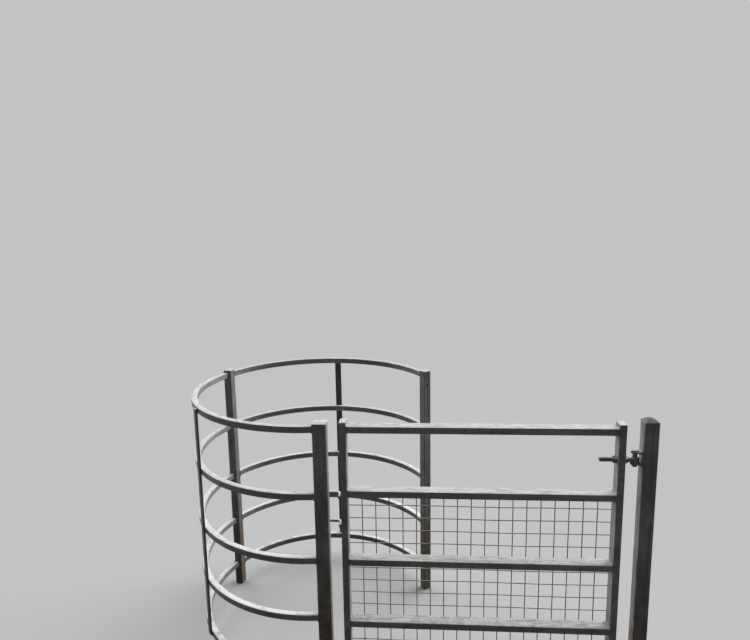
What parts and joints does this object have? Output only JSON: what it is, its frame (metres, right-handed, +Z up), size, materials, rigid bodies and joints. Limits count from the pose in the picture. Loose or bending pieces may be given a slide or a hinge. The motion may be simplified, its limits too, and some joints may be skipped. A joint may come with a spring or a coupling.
{
  "type": "kissing gate",
  "caption": "Kissing gate: round hoop of curved galvanised rails on square posts, with a mesh-clad leaf that swings between the hoop's end posts.",
  "frame": {"origin": "middle of the hinge post's foot, at ground level", "axes": "+Z up; the shut leaf runs along -X from the hinge post to the near post; the hoop stands on the +Y side"},
  "size_m": [1.7995, 1.0803, 1.136],
  "materials": {
    "post_steel": "weathered galvanised, dull, with brown dirt towards the ground",
    "cap_steel": "weathered galvanised, pale and dull",
    "hoop_steel": "weathered galvanised, dull, faintly brown below",
    "leaf_steel": "weathered galvanised, dull, faint spangle",
    "hinge_steel": "weathered galvanised with brown staining",
    "mesh_wire": "dull galvanised wire, browned at the welds"
  },
  "bodies": {
    "hoop_and_posts": {"hinge_post": "post_steel", "near_post": "post_steel", "rear_post": "post_steel", "far_post": "post_steel", "hinge_post_cap": "cap_steel", "near_post_cap": "cap_steel", "rear_post_cap": "cap_steel", "far_post_cap": "cap_steel", "upper_hinge_lugs": "hinge_steel", "lower_hinge_lugs": "hinge_steel", "upper_hinge_pin": "hinge_steel", "lower_hinge_pin": "hinge_steel", "left_rail_1": "hoop_steel", "left_rail_2": "hoop_steel", "left_rail_3": "hoop_steel", "left_rail_4": "hoop_steel", "left_rail_5": "hoop_steel", "back_rail_1": "hoop_steel", "back_rail_2": "hoop_steel", "back_rail_3": "hoop_steel", "back_rail_4": "hoop_steel", "back_rail_5": "hoop_steel", "left_upright": "post_steel", "back_upright": "post_steel"},
    "leaf": {"hinge_stile": "leaf_steel", "closing_stile": "leaf_steel", "leaf_rail_1": "leaf_steel", "leaf_rail_2": "leaf_steel", "leaf_rail_3": "leaf_steel", "leaf_rail_4": "leaf_steel", "leaf_rail_5": "leaf_steel", "hinge_stile_cap": "cap_steel", "closing_stile_cap": "cap_steel", "upper_eye_bolt": "hinge_steel", "lower_eye_bolt": "hinge_steel", "upper_eye_nuts": "hinge_steel", "lower_eye_nuts": "hinge_steel", "leaf_mesh": "mesh_wire", "stop_loop": "hinge_steel"}
  },
  "joints": [
    {"name": "leaf_swing", "type": "hinge", "parent": "hoop_and_posts", "child": "leaf", "pos_m": [-0.046, 0, 0.59], "axis": [0, 0, -1], "range_deg": [0, 41.5]}
  ]
}
